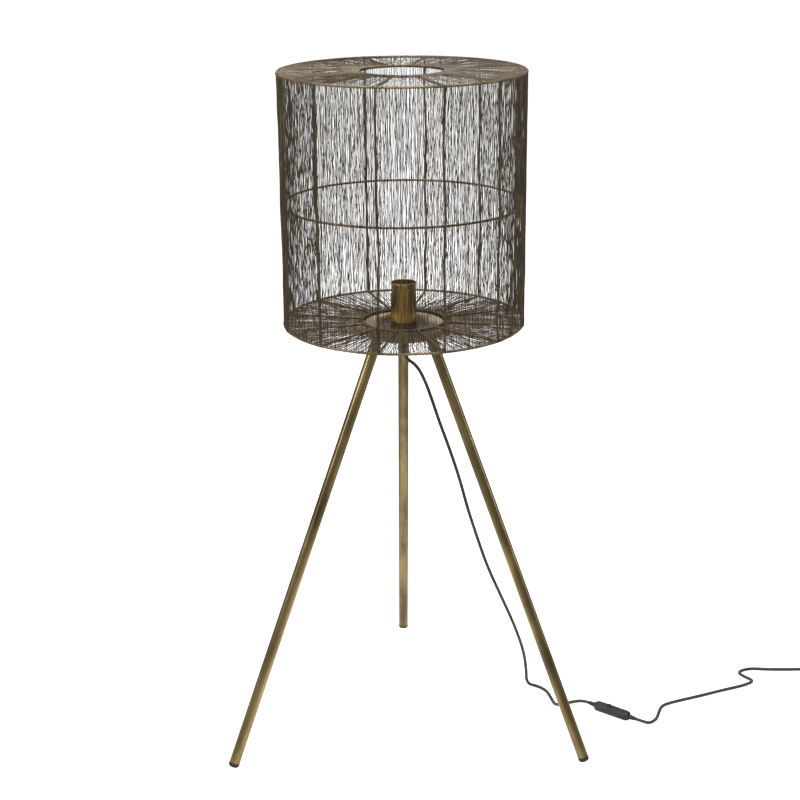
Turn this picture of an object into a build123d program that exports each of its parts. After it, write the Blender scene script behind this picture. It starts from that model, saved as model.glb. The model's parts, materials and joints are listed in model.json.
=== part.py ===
from build123d import *
import math
import os

# Floor lamp: a cylindrical wire cage shade on a brass dish, carried by three
# splayed tube legs, with a mains cord, an inline rocker switch and a plug.
# Millimetres, +Z up, floor at Z = 0.  The lamp is laid out about its own
# upright axis and then moved along Y so that the box round the standing lamp,
# without its cord, is centred on the origin.

# ---------------------------------------------------------------- dimensions

# Clearances
weld_gap = 0.2            # between a wire's cut end and the wire it is welded to
thread_clearance = 0.05   # radial, at a screw, a nipple or a stud in its hole
sliding_clearance = 0.3   # between a piece and the sleeve that it sits in
pivot_clearance = 0.05    # radial, rocker on its pin
pin_seat_clearance = 0.02  # radial, pivot pin in its lugs

# Shade: frame of welded wire with fine wires drawn over it
shade_diameter = 420.0
shade_ring_distance = 426.4    # bottom ring to top ring, centre to centre
shade_bottom_level = 769.0     # centre of the bottom rings
frame_wire = 4.0
fine_wire = 0.8
inner_ring_radius = 71.7       # centre line of the two inner rings
mid_ring_height = 206.6        # above the bottom rings, centre to centre
bay_count = 12
shade_turn = 17.6              # degrees from +X to the first stile
gaps_per_bay = 25
panel_gap = 0.4                # between the wire panels of neighbouring bays

# Base dish under the shade
dish_plate = 1.5
dish_brim = 2.0                # how far the brim reaches past the inner ring's centre
skirt_inset = 5.7              # from the brim in to the skirt's outside
skirt_height = 21.0
skirt_wall = 1.5
stud_plate_margin = 6.5        # from the skirt's inside in to the stud plate's rim
stud_plate_thickness = 3.0

# Legs
leg_count = 3
leg_radius = 9.5
leg_wall = 1.5
foot_circle_radius = 361.2     # where the leg axes meet the floor
leg_seat_inset = 14.7          # from the stud plate's rim in to where a leg's axis meets it
first_leg_angle = 90.0
socket_length = 14.0
stud_radius = 5.0
stud_in_socket = 11.0
stud_in_leg = 16.0
insert_length = 20.0
cap_height = 8.0
cap_rounding = 2.5
cap_spigot = 14.0

# Lampholder
cup_radius = 21.5
cup_height = 70.0
cup_wall = 1.0
cup_floor = 1.5
insulator_drop = 6.0           # from the cup's rim down to the insulator's rim
insulator_wall = 6.0
insulator_floor = 8.0
wiring_chamber = 14.0
web_thickness = 4.0
socket_thread_radius = 13.3
socket_shell_wall = 0.5
socket_shell_length = 26.0
socket_shell_drop = 3.0        # from the insulator's rim down to the shell
terminal_offset = 8.0
terminal_size = 5.0
terminal_height = 4.0
terminal_overlap = 1.0         # how far a strap reaches over its terminal, and over the shell
lead_radius = 1.2
lead_bend_radius = 3.0
lead_straight_low = 6.0        # straight run of a lead above the cord's end
lead_straight_high = 4.0       # and below the chamber's top
tongue_thickness = 0.6
tongue_width = 6.0
tongue_rise = 2.5              # its tip stays below the bulb's seat in the shell
terminal_screw_radius = 1.25
terminal_screw_length = 3.4
terminal_screw_room = 0.4      # below the screw's tip, in its hole
terminal_head_radius = 2.2
terminal_head_height = 1.5

# Threaded nipple, washer, nut, cord grip and strain relief on the axis
nipple_room = 1.0              # round the cord, inside the nipple
nipple_wall = 1.0
nipple_in_insulator = 6.5
cord_end_drop = 2.0            # from the nipple's top down to the end of the cord's sheath
washer_radius = 9.0
washer_thickness = 1.0
nut_across_flats = 14.0
nut_height = 4.0
grip_radius = 7.5
grip_height = 18.0
grip_rounding = 1.0
grip_thread_depth = 8.0
relief_length = 20.0
relief_top_wall = 2.55
relief_end_wall = 0.95
grip_screw_radius = 1.5
grip_screw_head = 2.6
grip_screw_proud = 1.6

# Mains cord
cord_diameter = 6.0
cord_clearance = 0.05
corner_share = 0.45            # of the shorter run, taken by each corner's arc

# Inline switch
switch_length = 76.0
switch_width = 19.0
switch_height = 14.5
switch_wall = 1.8
switch_rounding = 4.0
switch_centre = (385.5, -19.0)
switch_turn = -38.9
bush_length = 12.0
bush_root_wall = 1.55          # wall of the bush round the cord, at each step
bush_tip_wall = 0.55
bush_neck_wall = 0.95
bush_flange_wall = 2.15
bush_flange = 3.0
cord_end_inset = 11.5
rocker_reach = 11.2
rocker_width = 9.6
rocker_gap = 0.4
rocker_tilt = 10.0             # either way from level; the lamp is shown switched off
rocker_edge_angle = 22.0       # of the rocker's top edges, seen from its pivot
rocker_crown = 2.3
rocker_depth = 4.0
rocker_nib = 6.2
rocker_nib_width = 3.0
pivot_radius = 1.0
pivot_drop = 2.7               # below the top of the housing
lug_width = 5.0
clamp_from_end = 9.0           # from the housing's end in to the cord clamp
clamp_overhang = 1.4           # of the clamp past its screws
clamp_width = 4.0
clamp_thickness = 1.0
clamp_screw_radius = 1.1
clamp_head_radius = 1.7
clamp_head_height = 0.8
clamp_pillar_radius = 1.7
clamp_pillar_room = 0.5        # between a pillar and the cord
clamp_pillar_gap = 0.3
clamp_screw_end = 1.0          # below the screw's tip, over the housing's floor
housing_screw_from_end = 15.0
housing_screw_radius = 1.25
housing_head_radius = 2.2
housing_head_height = 1.8
housing_head_sink = 0.4
base_boss_radius = 3.0
cover_boss_radius = 2.6
screw_end_room = 0.9
contact_block = (6.0, 4.0, 4.2)
contact_room = 0.3             # between a contact block and the screw boss
contact_strip_reach = 2.0
contact_strip_width = 3.5
contact_strip_level = 4.2
contact_strip_thickness = 0.6
switch_lead_radius = 1.1
switch_lead_level = 3.6
switch_lead_place = 4.6

# Coil of spare cord, its tie, and the plug
coil_centre = (842.0, 101.0)
coil_outer_radius = 37.9
coil_turn_gap = 0.5
coil_half_turns = 4            # in each layer, before the turn that climbs
tie_thickness = 0.8
tie_width = 10.0
tie_slack = 0.3
tie_inner_slack = 0.9          # the inmost turn bends towards the middle inside the tie
tie_angle = -90.0
plug_place = (911.0, 62.0)     # where the cord enters the plug's strain relief
plug_turn = -90.0
plug_relief_length = 22.0
plug_relief_overlap = 4.0
plug_relief_wall = 0.9
plug_neck_radius = 5.2
plug_neck_width = 14.0
plug_shoulder_length = 14.85   # from the neck to the full width
plug_body_length = 33.0
plug_width = 35.0
plug_thickness = 13.7
plug_rounding = 2.5
plug_pin_radius = 2.0          # of the bare tips, and of the sleeves flush with them
plug_pin_rounding = 0.9
plug_pin_core = 1.4
plug_pin_spacing = 18.6
plug_pin_length = 19.0
plug_sleeve_length = 10.0
plug_pin_root = 8.0

# ------------------------------------------------------------ derived sizes

half_wire = frame_wire / 2
cord_radius = cord_diameter / 2
shade_top_level = shade_bottom_level + shade_ring_distance
shade_radius = shade_diameter / 2
outer_ring_radius = shade_radius - fine_wire - half_wire
mid_ring_radius = outer_ring_radius - frame_wire - weld_gap
mid_ring_level = shade_bottom_level + mid_ring_height
bay_angle = 360 / bay_count

plate_top = shade_bottom_level - half_wire
plate_under = plate_top - dish_plate
brim_radius = inner_ring_radius + dish_brim
skirt_radius = brim_radius - skirt_inset
stud_plate_radius = skirt_radius - skirt_wall - stud_plate_margin
stud_plate_under = plate_under - stud_plate_thickness
washer_under = stud_plate_under - washer_thickness
nut_under = washer_under - nut_height
grip_under = nut_under - grip_height
relief_under = grip_under - relief_length

cord_hole = cord_radius + cord_clearance
nipple_bore = cord_radius + nipple_room
nipple_radius = nipple_bore + nipple_wall
axis_hole = nipple_radius + thread_clearance

cup_rim = plate_top + cup_height
insulator_base = plate_top + cup_floor
insulator_rim = cup_rim - insulator_drop
insulator_radius = cup_radius - cup_wall - sliding_clearance
chamber_base = insulator_base + insulator_floor
chamber_top = chamber_base + wiring_chamber
well_base = chamber_top + web_thickness
well_radius = socket_thread_radius + socket_shell_wall + thread_clearance
shell_top = insulator_rim - socket_shell_drop
shell_base = shell_top - socket_shell_length
nipple_top = insulator_base + nipple_in_insulator
cord_entry_top = nipple_top - cord_end_drop
terminal_top = well_base + terminal_height

leg_seat_radius = stud_plate_radius - leg_seat_inset
leg_tilt = math.degrees(math.atan2(foot_circle_radius - leg_seat_radius, stud_plate_under))
socket_top = stud_plate_under / math.cos(math.radians(leg_tilt))
leg_top = socket_top - socket_length

switch_axis = switch_height / 2
switch_cavity_top = switch_height - switch_wall
pivot_level = switch_height - pivot_drop
bush_tip = switch_length / 2 + bush_length
clamp_place = switch_length / 2 - clamp_from_end
clamp_screw_place = cord_radius + clamp_pillar_room + clamp_pillar_radius
housing_screw_place = switch_length / 2 - housing_screw_from_end
contact_along = housing_screw_place - base_boss_radius - contact_room - contact_block[0] / 2
contact_aside = switch_width / 2 - switch_rounding - contact_block[1] / 2

coil_pitch = cord_diameter + coil_turn_gap
tie_lift = tie_thickness + tie_slack
coil_floor_level = cord_radius + tie_lift
plug_axis = plug_thickness / 2

# ------------------------------------------------------------------- helpers

nodes = {}


def group(solids):
    """Several separate solids kept as one sub-part."""
    return Compound(children=list(solids))


def upright(radius, low, high, bore=0.0):
    """A round bar or sleeve on the Z axis between two levels."""
    bar = Pos(0, 0, (low + high) / 2) * Cylinder(radius, high - low)
    if bore > 0:
        bar -= Pos(0, 0, (low + high) / 2) * Cylinder(bore, high - low)
    return bar


def block(low, high):
    """A box between two corners."""
    size = [b - a for a, b in zip(low, high)]
    middle = [(a + b) / 2 for a, b in zip(low, high)]
    return Pos(*middle) * Box(*size)


def turned(profile):
    """A solid of revolution about Z from (radius, level) points."""
    face = Plane.XZ * make_face(Polyline(*profile, close=True))
    return revolve(face, axis=Axis.Z)


def around(shape, count, first=0.0):
    """Copies of a shape, evenly turned about the lamp's axis."""
    return [Rot(0, 0, first + k * 360 / count) * shape for k in range(count)]


def polar(radius, degrees):
    angle = math.radians(degrees)
    return radius * math.cos(angle), radius * math.sin(angle)


# --------------------------------------------------------------------- shade

def ring(radius, level):
    return Pos(0, 0, level) * Torus(radius, half_wire)


nodes["shade_top_outer_ring"] = ring(outer_ring_radius, shade_top_level)
nodes["shade_top_inner_ring"] = ring(inner_ring_radius, shade_top_level)
nodes["shade_mid_ring"] = ring(mid_ring_radius, mid_ring_level)
nodes["shade_bottom_outer_ring"] = ring(outer_ring_radius, shade_bottom_level)
nodes["shade_bottom_inner_ring"] = ring(inner_ring_radius, shade_bottom_level)

ring_edge = half_wire + weld_gap
stile = Pos(outer_ring_radius, 0, 0) * upright(
    half_wire, shade_bottom_level + ring_edge, shade_top_level - ring_edge)
nodes["shade_stiles"] = group(around(stile, bay_count, shade_turn))


def spokes(level):
    """Straight wires from the inner ring to the outer one, in line with the stiles."""
    length = outer_ring_radius - inner_ring_radius - 2 * ring_edge
    middle = (outer_ring_radius + inner_ring_radius) / 2
    spoke = Pos(middle, 0, level) * Rot(0, 90, 0) * Cylinder(half_wire, length)
    return group(around(spoke, bay_count, shade_turn))


nodes["shade_top_spokes"] = spokes(shade_top_level)
nodes["shade_bottom_spokes"] = spokes(shade_bottom_level)


def wire_angles():
    """Angle of each fine wire inside a bay, from its first edge to its last."""
    step = bay_angle / gaps_per_bay
    return [k * step for k in range(gaps_per_bay + 1)]


def edge_trim(radius):
    """Angle that keeps neighbouring panels apart at a radius."""
    return math.degrees(panel_gap / 2 / radius)


def flat_net(level, inner, outer):
    """One bay of the radial wires: a flat holed face, one wire thick."""
    trim = edge_trim(inner)
    first, last = trim, bay_angle - trim
    rim = [polar(outer, a) for a in (first, bay_angle / 2, last)]
    hub = [polar(inner, a) for a in (last, bay_angle / 2, first)]
    outline = [
        ThreePointArc(*rim),
        Line(rim[2], hub[0]),
        ThreePointArc(*hub),
        Line(hub[2], rim[0]),
    ]
    face = make_face(outline)
    angles = wire_angles()
    near, far = inner + 2 * fine_wire, outer - 2 * fine_wire
    holes = []
    for low, high in zip(angles, angles[1:]):
        corners = []
        for radius, angle, side in ((near, low, 1), (far, low, 1), (far, high, -1), (near, high, -1)):
            half = math.degrees(fine_wire / 2 / radius)
            edge = trim + fine_wire / 2 / radius if angle in (0, bay_angle) else 0
            corners.append(polar(radius, angle + side * (half + edge)))
        holes.append(make_face(Polyline(*corners, close=True)))
    return Pos(0, 0, level) * extrude(face - holes, amount=fine_wire)


def wall_net():
    """One bay of the upright wires: a curved holed sheet, one wire thick."""
    inner = outer_ring_radius + half_wire
    outer = inner + fine_wire
    height = shade_ring_distance
    sheet = upright(outer, 0, height, inner)
    step = bay_angle / gaps_per_bay
    trim = edge_trim(outer)
    corners = [polar(2 * outer, a) for a in (trim, bay_angle - trim)]
    wedge = extrude(make_face(Polyline((0, 0), *corners, close=True)), amount=height)
    sheet = sheet & wedge
    slot = math.radians(step) * inner - fine_wire
    low, high = 2 * fine_wire, height - 2 * fine_wire
    cutter = block((inner - fine_wire, -slot / 2, low), (outer + fine_wire, slot / 2, high))
    return sheet - [Rot(0, 0, (k + 0.5) * step) * cutter for k in range(gaps_per_bay)]


nodes["shade_wall_wires"] = group(
    around(Pos(0, 0, shade_bottom_level) * wall_net(), bay_count, shade_turn))
net_reach = outer_ring_radius + half_wire
nodes["shade_top_wires"] = group(around(
    flat_net(shade_top_level + half_wire, inner_ring_radius, net_reach), bay_count, shade_turn))
nodes["shade_bottom_wires"] = group(around(
    flat_net(plate_top - fine_wire, brim_radius + sliding_clearance, net_reach),
    bay_count, shade_turn))

# ----------------------------------------------------------------- base dish

nodes["base_dish"] = turned([
    (axis_hole, plate_top),
    (brim_radius, plate_top),
    (brim_radius, plate_under),
    (skirt_radius, plate_under),
    (skirt_radius, plate_top - skirt_height),
    (skirt_radius - skirt_wall, plate_top - skirt_height),
    (skirt_radius - skirt_wall, plate_under),
    (axis_hole, plate_under),
])
nodes["stud_plate"] = upright(stud_plate_radius, stud_plate_under, plate_under, axis_hole)

# ---------------------------------------------------------------------- legs


def on_leg(shape, angle):
    """Move a shape drawn up the Z axis from the floor onto a leg's axis."""
    return Rot(0, 0, angle) * Pos(foot_circle_radius, 0, 0) * Rot(0, -leg_tilt, 0) * shape


def leg_socket():
    socket = upright(leg_radius, leg_top, socket_top + leg_radius)
    socket -= upright(stud_radius + thread_clearance, leg_top, leg_top + stud_in_socket)
    return socket


def foot_cap():
    cap = upright(leg_radius, 0, cap_height)
    cap = fillet(cap.edges().sort_by(Axis.Z)[0], cap_rounding)
    spigot_radius = leg_radius - leg_wall - thread_clearance
    return cap + upright(spigot_radius, cap_height, cap_height + cap_spigot)


room = 4 * foot_circle_radius
below_floor = block((-room, -room, -room), (room, room, 0))
above_socket = block((-room, -room, stud_plate_under), (room, room, stud_plate_under + room))

leg_tube = upright(leg_radius, cap_height, leg_top, leg_radius - leg_wall)
stud_hole = stud_radius + thread_clearance
leg_insert = upright(
    leg_radius - leg_wall - thread_clearance, leg_top - insert_length, leg_top, stud_hole)
leg_stud = upright(stud_radius, leg_top - stud_in_leg, leg_top + stud_in_socket)

leg_names = ("back", "left", "right")
leg_angles = [first_leg_angle + k * 360 / leg_count for k in range(leg_count)]
for leg_name, leg_angle in zip(leg_names, leg_angles):
    nodes["leg_" + leg_name] = on_leg(leg_tube, leg_angle)
    nodes["leg_socket_" + leg_name] = on_leg(leg_socket(), leg_angle) - above_socket
    nodes["foot_cap_" + leg_name] = on_leg(foot_cap(), leg_angle) - below_floor
nodes["leg_studs"] = group(on_leg(leg_stud, angle) for angle in leg_angles)
nodes["leg_inserts"] = group(on_leg(leg_insert, angle) for angle in leg_angles)

# ---------------------------------------------------------------- lampholder

nodes["lampholder_cup"] = turned([
    (axis_hole, plate_top),
    (cup_radius, plate_top),
    (cup_radius, cup_rim),
    (cup_radius - cup_wall, cup_rim),
    (cup_radius - cup_wall, insulator_base),
    (axis_hole, insulator_base),
])

insulator = upright(insulator_radius, insulator_base, insulator_rim)
insulator -= upright(axis_hole, insulator_base, chamber_base)
insulator -= upright(insulator_radius - insulator_wall, chamber_base, chamber_top)
insulator -= upright(well_radius, well_base, insulator_rim)
for side in (-1, 1):
    lead_hole = upright(lead_radius + sliding_clearance, chamber_top, well_base)
    insulator -= Pos(side * terminal_offset, 0, 0) * lead_hole
nodes["lampholder_insulator"] = insulator

shell = upright(
    socket_thread_radius + socket_shell_wall, shell_base, shell_top, socket_thread_radius)
strap_outer = socket_thread_radius + socket_shell_wall / 2
strap_top = terminal_top + tongue_thickness
half_tongue = tongue_width / 2
strap_inner = terminal_offset + terminal_size / 2 - terminal_overlap
shell += block((-strap_outer, -half_tongue, terminal_top), (-strap_inner, half_tongue, strap_top))
shell += block((-strap_outer, -half_tongue, terminal_top),
               (-strap_outer + tongue_thickness, half_tongue, shell_base + terminal_overlap))
shell &= upright(socket_thread_radius + socket_shell_wall, terminal_top, shell_top)
shell -= upright(socket_thread_radius, shell_base, shell_top)
nodes["lampholder_screw_shell"] = shell

terminal = block((-terminal_size / 2, -terminal_size / 2, well_base),
                 (terminal_size / 2, terminal_size / 2, terminal_top))
screw_hole = upright(
    terminal_screw_radius + thread_clearance, terminal_top - terminal_screw_length, terminal_top)
terminal -= screw_hole
nodes["lampholder_terminals"] = group(
    Pos(side * terminal_offset, 0, 0) * terminal for side in (-1, 1))

tongue_tip = terminal_top + tongue_rise
tongue_line = Polyline(
    (terminal_offset + terminal_size / 2, terminal_top),
    (terminal_size, terminal_top),
    (0, tongue_tip),
    (-terminal_size / 2, tongue_tip - tongue_thickness),
    (-terminal_size / 2, tongue_tip),
    (0, tongue_tip + tongue_thickness),
    (terminal_size + tongue_thickness / 2, terminal_top + tongue_thickness),
    (terminal_offset + terminal_size / 2, terminal_top + tongue_thickness),
    close=True,
)
tongue = extrude(Plane.XZ * make_face(tongue_line), amount=tongue_width / 2, both=True)
tongue -= Pos(terminal_offset, 0, 0) * upright(
    terminal_screw_radius + thread_clearance, terminal_top, terminal_top + 2 * tongue_thickness)
nodes["lampholder_centre_contact"] = tongue

screw_tip = terminal_top - terminal_screw_length + terminal_screw_room
terminal_screw = upright(terminal_screw_radius, screw_tip, strap_top)
terminal_screw += upright(terminal_head_radius, strap_top, strap_top + terminal_head_height)
nodes["lampholder_terminal_screws"] = group(
    Pos(side * terminal_offset, 0, 0) * terminal_screw for side in (-1, 1))

# ------------------------------------------- nipple, nut, grip and relief

nodes["threaded_nipple"] = upright(
    nipple_radius, nut_under - grip_thread_depth, nipple_top, nipple_bore)
nodes["washer"] = upright(washer_radius, washer_under, stud_plate_under, axis_hole)
nut = Pos(0, 0, nut_under) * extrude(
    RegularPolygon(nut_across_flats / 2, 6, major_radius=False), amount=nut_height)
nodes["lock_nut"] = nut - upright(axis_hole, nut_under, washer_under)

grip = upright(grip_radius, grip_under, nut_under)
grip = fillet(grip.edges().sort_by(Axis.Z)[0], grip_rounding)
grip -= upright(axis_hole, nut_under - grip_thread_depth, nut_under)
grip -= upright(cord_hole, grip_under, nut_under)
grip_screw_level = (grip_under + nut_under - grip_thread_depth) / 2
sideways = Pos(0, 0, grip_screw_level) * Rot(90, 0, 0)
grip_screw = upright(grip_screw_radius, cord_hole, grip_radius)
grip_screw += upright(grip_screw_head, grip_radius, grip_radius + grip_screw_proud)
grip -= sideways * upright(grip_screw_radius + thread_clearance, 0, 2 * grip_radius)
grip -= sideways * upright(grip_screw_head + thread_clearance, grip_radius, 2 * grip_radius)
nodes["cord_grip"] = grip
nodes["cord_grip_screw"] = sideways * grip_screw

nodes["strain_relief"] = turned([
    (cord_hole, relief_under),
    (cord_hole + relief_end_wall, relief_under),
    (cord_hole + relief_top_wall, grip_under),
    (cord_hole, grip_under),
])
nodes["power_cord_entry"] = upright(cord_radius, relief_under, cord_entry_top)

leads = []
for side in (-1, 1):
    start = side * (lead_radius + thread_clearance)
    lead_path = FilletPolyline(
        (start, 0, cord_entry_top),
        (start, 0, cord_entry_top + lead_straight_low),
        (side * terminal_offset, 0, chamber_top - lead_straight_high),
        (side * terminal_offset, 0, well_base),
        radius=lead_bend_radius,
    )
    lead_end = Plane(origin=lead_path @ 0, z_dir=lead_path % 0)
    leads.append(sweep(lead_end * Circle(lead_radius), path=lead_path))
nodes["lampholder_leads"] = group(leads)

# -------------------------------------------------------------- inline switch


def in_switch(shape):
    """Place a piece drawn along X, with the switch's underside at Z = 0."""
    return Pos(switch_centre[0], switch_centre[1], 0) * Rot(0, 0, switch_turn) * shape


def switch_point(along, level):
    """A point on the switch's long axis, in the lamp's layout."""
    x, y = polar(along, switch_turn)
    return switch_centre[0] + x, switch_centre[1] + y, level


def lengthways(shape):
    """Turn a shape drawn on Z to lie along +X at the height of the cord in the switch."""
    return Pos(0, 0, switch_axis) * Rot(0, 90, 0) * shape


def oblong(inset):
    """The housing's rounded oblong outside, or a smaller one inset all round."""
    shape = Pos(0, 0, inset) * extrude(
        SlotOverall(switch_length - 2 * inset, switch_width - 2 * inset),
        amount=switch_height - 2 * inset)
    rims = shape.edges().group_by(Axis.Z)
    return fillet(rims[0] + rims[-1], switch_rounding - inset)


def switch_shell(low, high):
    """The hollow oblong housing between two levels."""
    half = switch_length
    return (oblong(0) - oblong(switch_wall)) & block((-half, -half, low), (half, half, high))


bush_neck_radius = cord_hole + bush_neck_wall
end_holes = lengthways(upright(bush_neck_radius + thread_clearance, -switch_length, switch_length))
half_neck_room = switch_length / 2 - 3 * switch_wall
end_holes -= block((-half_neck_room, -switch_width, 0), (half_neck_room, switch_width, switch_height))

both_ends = (-1, 1)
base = switch_shell(0, switch_axis)
for end in both_ends:
    base += Pos(end * housing_screw_place, 0, 0) * upright(base_boss_radius, switch_wall / 2, switch_axis)
    base -= Pos(end * housing_screw_place, 0, 0) * upright(
        housing_head_radius + thread_clearance, 0, housing_head_sink + housing_head_height)
    base -= Pos(end * housing_screw_place, 0, 0) * upright(
        housing_screw_radius + thread_clearance, 0, switch_axis)
    for side in (-1, 1):
        pillar_top = switch_axis + cord_radius - clamp_pillar_gap
        pillar = upright(clamp_pillar_radius, switch_wall / 2, pillar_top)
        pillar -= upright(clamp_screw_radius + thread_clearance, switch_wall, pillar_top)
        base += Pos(end * clamp_place, side * clamp_screw_place, 0) * pillar
nodes["switch_base"] = in_switch(base - end_holes)

cover = switch_shell(switch_axis, switch_height)
window = rocker_reach + rocker_gap
half_window = rocker_width / 2 + rocker_gap
cover -= block((-window, -half_window, switch_axis), (window, half_window, switch_height))
cover_wall_place = switch_width / 2 - switch_wall / 2
for side in (-1, 1):
    lug_ends = sorted((side * half_window, side * cover_wall_place))
    cover += block((-lug_width / 2, lug_ends[0], pivot_level - lug_width / 2),
                   (lug_width / 2, lug_ends[1], switch_cavity_top))
pivot_hole = Pos(0, 0, pivot_level) * Rot(90, 0, 0) * Cylinder(
    pivot_radius + pin_seat_clearance, switch_width - 2 * switch_wall)
cover -= pivot_hole
for end in both_ends:
    boss = upright(cover_boss_radius, switch_axis, switch_cavity_top)
    boss -= upright(housing_screw_radius + thread_clearance, switch_axis,
                    switch_cavity_top - screw_end_room)
    cover += Pos(end * housing_screw_place, 0, 0) * boss
nodes["switch_cover"] = in_switch(cover - end_holes)

pin_length = switch_width - 2 * switch_wall - 2 * pin_seat_clearance
pivot_pin = Pos(0, 0, pivot_level) * Rot(90, 0, 0) * Cylinder(pivot_radius, pin_length)
nodes["switch_pivot_pin"] = in_switch(pivot_pin)


def rocker_profile():
    """Side view of the level rocker about its pivot: round ends, a crowned top."""
    top_right = polar(rocker_reach, rocker_edge_angle)
    low_angle = -math.degrees(math.asin(rocker_depth / rocker_reach))
    low_right = polar(rocker_reach, low_angle)
    top_left = (-top_right[0], top_right[1])
    low_left = (-low_right[0], low_right[1])
    return make_face([
        Line(low_left, low_right),
        ThreePointArc(low_right, (rocker_reach, 0), top_right),
        Line(top_right, (0, rocker_crown)),
        Line((0, rocker_crown), top_left),
        ThreePointArc(top_left, (-rocker_reach, 0), low_left),
    ])


rocker = extrude(Plane.XZ * rocker_profile(), amount=rocker_width / 2, both=True)
rocker += block((-rocker_nib_width / 2, -rocker_nib_width / 2, -rocker_nib),
                (rocker_nib_width / 2, rocker_nib_width / 2, 0))
rocker -= Rot(90, 0, 0) * Cylinder(pivot_radius + pivot_clearance, 2 * rocker_width)
nodes["switch_rocker"] = in_switch(Pos(0, 0, pivot_level) * Rot(0, rocker_tilt, 0) * rocker)

bush_root = switch_length / 2
flange_inner = bush_root - switch_wall - bush_flange
bush = lengthways(turned([
    (cord_hole, flange_inner),
    (bush_neck_radius, flange_inner),
    (bush_neck_radius, bush_root),
    (cord_hole + bush_root_wall, bush_root),
    (cord_hole + bush_tip_wall, bush_tip),
    (cord_hole, bush_tip),
]))
flange = upright(cord_hole + bush_flange_wall, flange_inner, bush_root, cord_hole)
bush += lengthways(flange) & oblong(switch_wall + thread_clearance)
stub = lengthways(upright(cord_radius, bush_root - cord_end_inset, bush_tip))
bush_pieces = []
cord_ends = []
for end in both_ends:
    facing = Rot(0, 0, 0 if end > 0 else 180)
    bush_pieces.append(in_switch(facing * bush))
    cord_ends.append(in_switch(facing * stub))
nodes["switch_cord_bushes"] = group(bush_pieces)
nodes["switch_cord_ends"] = group(cord_ends)

clamp_under = switch_axis + cord_radius
clamp_top = clamp_under + clamp_thickness
half_clamp = clamp_screw_place + clamp_overhang
clamps = []
clamp_screws = []
housing_screws = []
for end in both_ends:
    clamp = block((-clamp_width / 2, -half_clamp, clamp_under),
                  (clamp_width / 2, half_clamp, clamp_top))
    for side in (-1, 1):
        at_screw = Pos(0, side * clamp_screw_place, 0)
        clamp -= at_screw * upright(clamp_screw_radius + thread_clearance, clamp_under, clamp_top)
        screw = upright(clamp_screw_radius, switch_wall + clamp_screw_end, clamp_top)
        screw += upright(clamp_head_radius, clamp_top, clamp_top + clamp_head_height)
        clamp_screws.append(in_switch(Pos(end * clamp_place, 0, 0) * at_screw * screw))
    clamps.append(in_switch(Pos(end * clamp_place, 0, 0) * clamp))
    screw = upright(housing_screw_radius, housing_head_sink, switch_cavity_top - 2 * screw_end_room)
    screw += upright(housing_head_radius, housing_head_sink, housing_head_sink + housing_head_height)
    housing_screws.append(in_switch(Pos(end * housing_screw_place, 0, 0) * screw))
nodes["switch_cord_clamps"] = group(clamps)
nodes["switch_clamp_screws"] = group(clamp_screws)
nodes["switch_housing_screws"] = group(housing_screws)

contacts = []
switch_leads = []
lead_inner = contact_along + contact_block[0] / 2
lead_outer = switch_length / 2 - cord_end_inset
along_x = Rot(0, 90, 0)
for end in both_ends:
    blade = Pos(end * contact_along, contact_aside, switch_wall + contact_block[2] / 2) * Box(*contact_block)
    ends = sorted((end * contact_strip_reach, end * contact_along))
    blade += block((ends[0], contact_aside - contact_strip_width / 2, contact_strip_level),
                   (ends[1], contact_aside + contact_strip_width / 2,
                    contact_strip_level + contact_strip_thickness))
    contacts.append(in_switch(blade))
    ends = sorted((end * lead_inner, end * lead_outer))
    live = Pos(0, switch_lead_place, switch_lead_level) * along_x * upright(switch_lead_radius, *ends)
    switch_leads.append(in_switch(live))
neutral = Pos(0, -switch_lead_place, switch_lead_level) * along_x * upright(
    switch_lead_radius, -lead_outer, lead_outer)
switch_leads.append(in_switch(neutral))
nodes["switch_contacts"] = group(contacts)
nodes["switch_leads"] = group(switch_leads)

# ---------------------------------------------------------------- mains cord


def corner_radii(route):
    """Each corner's arc takes a set share of the shorter of its two runs."""
    radii = []
    for a, b, c in zip(route, route[1:], route[2:]):
        before = Vector(*b) - Vector(*a)
        after = Vector(*c) - Vector(*b)
        half_turn = math.radians(before.get_angle(after)) / 2
        shorter = min(before.length, after.length)
        radii.append(corner_share * shorter / math.tan(half_turn))
    return radii


def free_cord(name, route):
    """A round tube along straight runs that are joined by tangent arcs."""
    radii = corner_radii(route)
    path = FilletPolyline(*route, radius=radii)
    section = Plane(origin=path @ 0, z_dir=path % 0) * Circle(cord_radius)
    tube = sweep(section, path=path)
    expected = math.pi * cord_radius ** 2 * path.length
    print(name, "length", round(path.length, 1), "volume over section x length",
          round(tube.volume / expected, 5))
    print("  radii", [round(radius, 1) for radius in radii])
    return tube


# From the strain relief, down behind the right leg, then over the floor to the switch
hanging_route = [
    (0.0, 0.0, relief_under),
    (0.0, 0.0, 701.0),
    (18.0, 7.5, 681.0),
    (36.0, 15.0, 650.0),
    (50.0, 21.5, 613.0),
    (62.5, 26.0, 572.0),
    (81.5, 35.0, 516.0),
    (99.5, 41.5, 458.0),
    (114.5, 49.0, 397.0),
    (134.0, 56.0, 332.0),
    (153.5, 65.5, 270.0),
    (181.0, 76.0, 203.0),
    (210.5, 89.5, 130.0),
    (228.0, 96.0, 75.0),
    (234.0, 99.5, 35.0),
    (235.0, 99.0, cord_radius),
    (256.0, 88.0, cord_radius),
    (271.0, 70.0, cord_radius),
    (276.5, 43.0, cord_radius),
    (281.5, 12.0, cord_radius),
    (302.0, 19.0, cord_radius),
    (321.0, 26.5, cord_radius),
    switch_point(-bush_tip - 13.0, switch_axis),
    switch_point(-bush_tip, switch_axis),
]
nodes["power_cord_upper"] = free_cord("power_cord_upper", hanging_route)

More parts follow.
